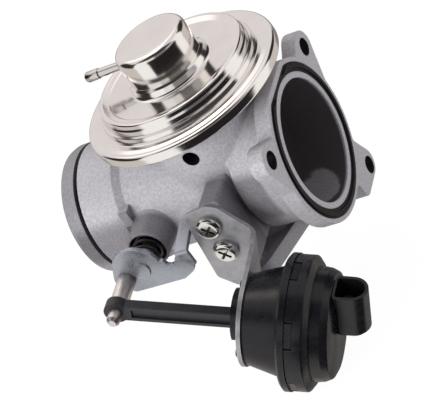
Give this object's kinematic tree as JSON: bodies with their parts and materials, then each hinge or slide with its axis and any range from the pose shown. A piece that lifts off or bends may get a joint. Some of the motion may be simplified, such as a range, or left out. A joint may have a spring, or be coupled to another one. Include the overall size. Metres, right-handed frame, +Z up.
{
  "type": "egr valve",
  "caption": "Vacuum-operated exhaust gas recirculation valve with intake throttle flap, linkage actuator, three-hole manifold flange and hose spigot.",
  "frame": {"origin": "centre of the manifold bore on the flange face", "axes": "+X out of the manifold flange along the duct, +Z up the poppet stem through the vacuum capsule, lever side faces -Y"},
  "size_m": [0.1443, 0.1528, 0.1458],
  "materials": {
    "cast_housing": "sand-cast, fine grain, machined faces",
    "gasket": "moulded nitrile with a sealing bead",
    "o_ring": "smooth",
    "bush": "sintered bronze",
    "seal": "lip seal",
    "end_plug": "pressed cup",
    "shaft": "ground",
    "flap": "turned edge",
    "flap_screws": "zinc plated",
    "lever": "blue zinc plated sheet",
    "pin": "bright turned",
    "return_spring": "spring wire",
    "seat": "heat-stained stainless",
    "poppet": "heat-stained stainless",
    "stem": "ground stainless",
    "guide": "turned",
    "plates": "pressed, zinc plated",
    "diaphragm": "fabric-reinforced rubber",
    "valve_spring": "spring wire",
    "capsule_base": "nickel plated pressing",
    "inner_screws": "zinc plated",
    "capsule_cover": "bright nickel plated pressing",
    "nipple": "plated tube",
    "bracket": "zinc plated sheet",
    "bracket_screws": "bright zinc plated",
    "drum": "glass-filled nylon, satin",
    "rivets": "heat-staked heads",
    "cap": "glass-filled nylon, satin",
    "rod": "glass-filled nylon",
    "piston": "moulded nylon",
    "actuator_spring": "spring wire"
  },
  "bodies": {
    "housing": {"valve_housing": "cast_housing", "manifold_gasket": "gasket", "hose_o_ring": "o_ring", "shaft_bush_front": "bush", "shaft_bush_rear": "bush", "shaft_seal": "seal", "shaft_end_plug": "end_plug", "valve_seat": "seat", "stem_guide": "guide", "valve_diaphragm": "diaphragm", "valve_spring": "valve_spring", "capsule_base": "capsule_base", "capsule_screws": "inner_screws", "capsule_cover": "capsule_cover", "vacuum_nipple": "nipple", "actuator_bracket": "bracket", "bracket_screws": "bracket_screws", "actuator_drum": "drum", "actuator_rivets": "rivets", "actuator_cap": "cap", "actuator_diaphragm": "diaphragm", "actuator_spring": "actuator_spring"},
    "flap": {"flap_shaft": "shaft", "throttle_flap": "flap", "flap_screws": "flap_screws", "throttle_lever": "lever", "lever_pin": "pin", "return_spring": "return_spring"},
    "rod": {"actuator_rod": "rod", "actuator_piston": "piston"},
    "valve": {"valve_poppet": "poppet", "valve_stem": "stem", "stem_washer": "plates", "spring_plate": "plates"}
  },
  "joints": [
    {"name": "flap_turn", "type": "hinge", "parent": "housing", "child": "flap", "pos_m": [-0.0788, -0.054, 0], "axis": [0, -1, 0], "range_deg": [0, 84], "stiffness_Nm_per_rad": 0.2, "springref_deg": -57.3, "deforming": ["return_spring"]},
    {"name": "rod_turn", "type": "hinge", "parent": "flap", "child": "rod", "pos_m": [-0.0884, -0.0744, -0.0029], "axis": [0, -1, 0], "range_deg": [-84, 0], "deforming": ["actuator_diaphragm", "actuator_spring"]},
    {"name": "valve_lift", "type": "slide", "parent": "housing", "child": "valve", "axis": [0, 0, 1], "range_m": [0, 0.006], "stiffness_N_per_m": 2500, "springref_m": -0.01, "deforming": ["valve_diaphragm", "valve_spring"]}
  ],
  "couplings": [
    {"joint": "rod_turn", "follows": "flap_turn", "ratio": -1}
  ]
}
